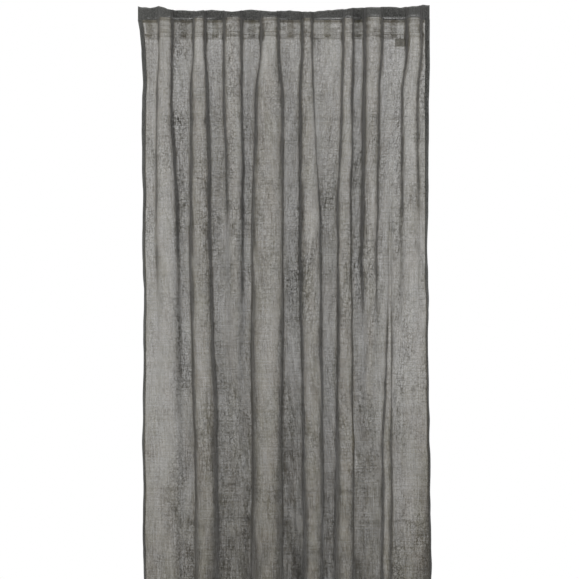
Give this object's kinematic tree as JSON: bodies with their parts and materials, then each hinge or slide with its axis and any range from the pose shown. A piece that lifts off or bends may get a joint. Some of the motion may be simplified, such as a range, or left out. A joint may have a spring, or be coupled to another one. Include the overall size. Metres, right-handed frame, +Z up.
{
  "type": "curtain panel",
  "caption": "Gathered semi-sheer crinkled curtain panel with a corded heading tape and rod loops that slide as it is drawn.",
  "frame": {"origin": "on the axis of the rod that the loops hang from, at the middle of the gathered header's width", "axes": "+Z up, the drop hangs along -Z; X across the panel; -Y is the face side, +Y the rod and window side"},
  "size_m": [0.7833, 0.1291, 2.5],
  "materials": {
    "sheer_cloth": "crinkled, semi-sheer, matt",
    "doubled_cloth": "crinkled cloth turned over twice, matt",
    "heading_tape": "translucent woven tape",
    "loop_webbing": "narrow woven webbing",
    "draw_cord": "braided cord",
    "sewing_thread": "spun thread",
    "blank_label": "woven ribbon, blank"
  },
  "bodies": {
    "panel": {"face_cloth": "sheer_cloth", "top_turnover": "doubled_cloth", "left_side_hem": "doubled_cloth", "right_side_hem": "doubled_cloth", "bottom_hem": "doubled_cloth", "heading_tape": "heading_tape", "upper_draw_cord": "draw_cord", "upper_draw_cord_left_knot": "draw_cord", "upper_draw_cord_right_knot": "draw_cord", "lower_draw_cord": "draw_cord", "lower_draw_cord_left_knot": "draw_cord", "lower_draw_cord_right_knot": "draw_cord", "tape_top_stitching": "sewing_thread", "tape_bottom_stitching": "sewing_thread", "left_hem_stitching": "sewing_thread", "right_hem_stitching": "sewing_thread", "bottom_hem_stitching": "sewing_thread", "care_label": "blank_label", "label_stitching": "sewing_thread", "rod_loop_1": "loop_webbing", "loop_1_upper_tack": "sewing_thread", "loop_1_lower_tack": "sewing_thread"},
    "loop_8": {"rod_loop_8": "loop_webbing", "loop_8_upper_tack": "sewing_thread", "loop_8_lower_tack": "sewing_thread"},
    "loop_7": {"rod_loop_7": "loop_webbing", "loop_7_upper_tack": "sewing_thread", "loop_7_lower_tack": "sewing_thread"},
    "loop_6": {"rod_loop_6": "loop_webbing", "loop_6_upper_tack": "sewing_thread", "loop_6_lower_tack": "sewing_thread"},
    "loop_5": {"rod_loop_5": "loop_webbing", "loop_5_upper_tack": "sewing_thread", "loop_5_lower_tack": "sewing_thread"},
    "loop_4": {"rod_loop_4": "loop_webbing", "loop_4_upper_tack": "sewing_thread", "loop_4_lower_tack": "sewing_thread"},
    "loop_3": {"rod_loop_3": "loop_webbing", "loop_3_upper_tack": "sewing_thread", "loop_3_lower_tack": "sewing_thread"},
    "loop_2": {"rod_loop_2": "loop_webbing", "loop_2_upper_tack": "sewing_thread", "loop_2_lower_tack": "sewing_thread"}
  },
  "joints": [
    {"name": "draw", "type": "slide", "parent": "panel", "child": "loop_8", "axis": [-1, 0, 0], "range_m": [0, 0.42], "deforming": ["face_cloth", "top_turnover", "left_side_hem", "right_side_hem", "bottom_hem", "heading_tape", "upper_draw_cord", "upper_draw_cord_left_knot", "upper_draw_cord_right_knot", "lower_draw_cord", "lower_draw_cord_left_knot", "lower_draw_cord_right_knot", "tape_top_stitching", "tape_bottom_stitching", "left_hem_stitching", "right_hem_stitching", "bottom_hem_stitching", "care_label", "label_stitching"]},
    {"name": "loop_7_slide", "type": "slide", "parent": "panel", "child": "loop_7", "axis": [-1, 0, 0], "range_m": [0, 0.3612]},
    {"name": "loop_6_slide", "type": "slide", "parent": "panel", "child": "loop_6", "axis": [-1, 0, 0], "range_m": [0, 0.3083]},
    {"name": "loop_5_slide", "type": "slide", "parent": "panel", "child": "loop_5", "axis": [-1, 0, 0], "range_m": [0, 0.2449]},
    {"name": "loop_4_slide", "type": "slide", "parent": "panel", "child": "loop_4", "axis": [-1, 0, 0], "range_m": [0, 0.1781]},
    {"name": "loop_3_slide", "type": "slide", "parent": "panel", "child": "loop_3", "axis": [-1, 0, 0], "range_m": [0, 0.1156]},
    {"name": "loop_2_slide", "type": "slide", "parent": "panel", "child": "loop_2", "axis": [-1, 0, 0], "range_m": [0, 0.0617]}
  ],
  "couplings": [
    {"joint": "loop_7_slide", "follows": "draw", "ratio": 0.85514},
    {"joint": "loop_6_slide", "follows": "draw", "ratio": 0.72921},
    {"joint": "loop_5_slide", "follows": "draw", "ratio": 0.57843},
    {"joint": "loop_4_slide", "follows": "draw", "ratio": 0.4194},
    {"joint": "loop_3_slide", "follows": "draw", "ratio": 0.27041},
    {"joint": "loop_2_slide", "follows": "draw", "ratio": 0.14211}
  ]
}
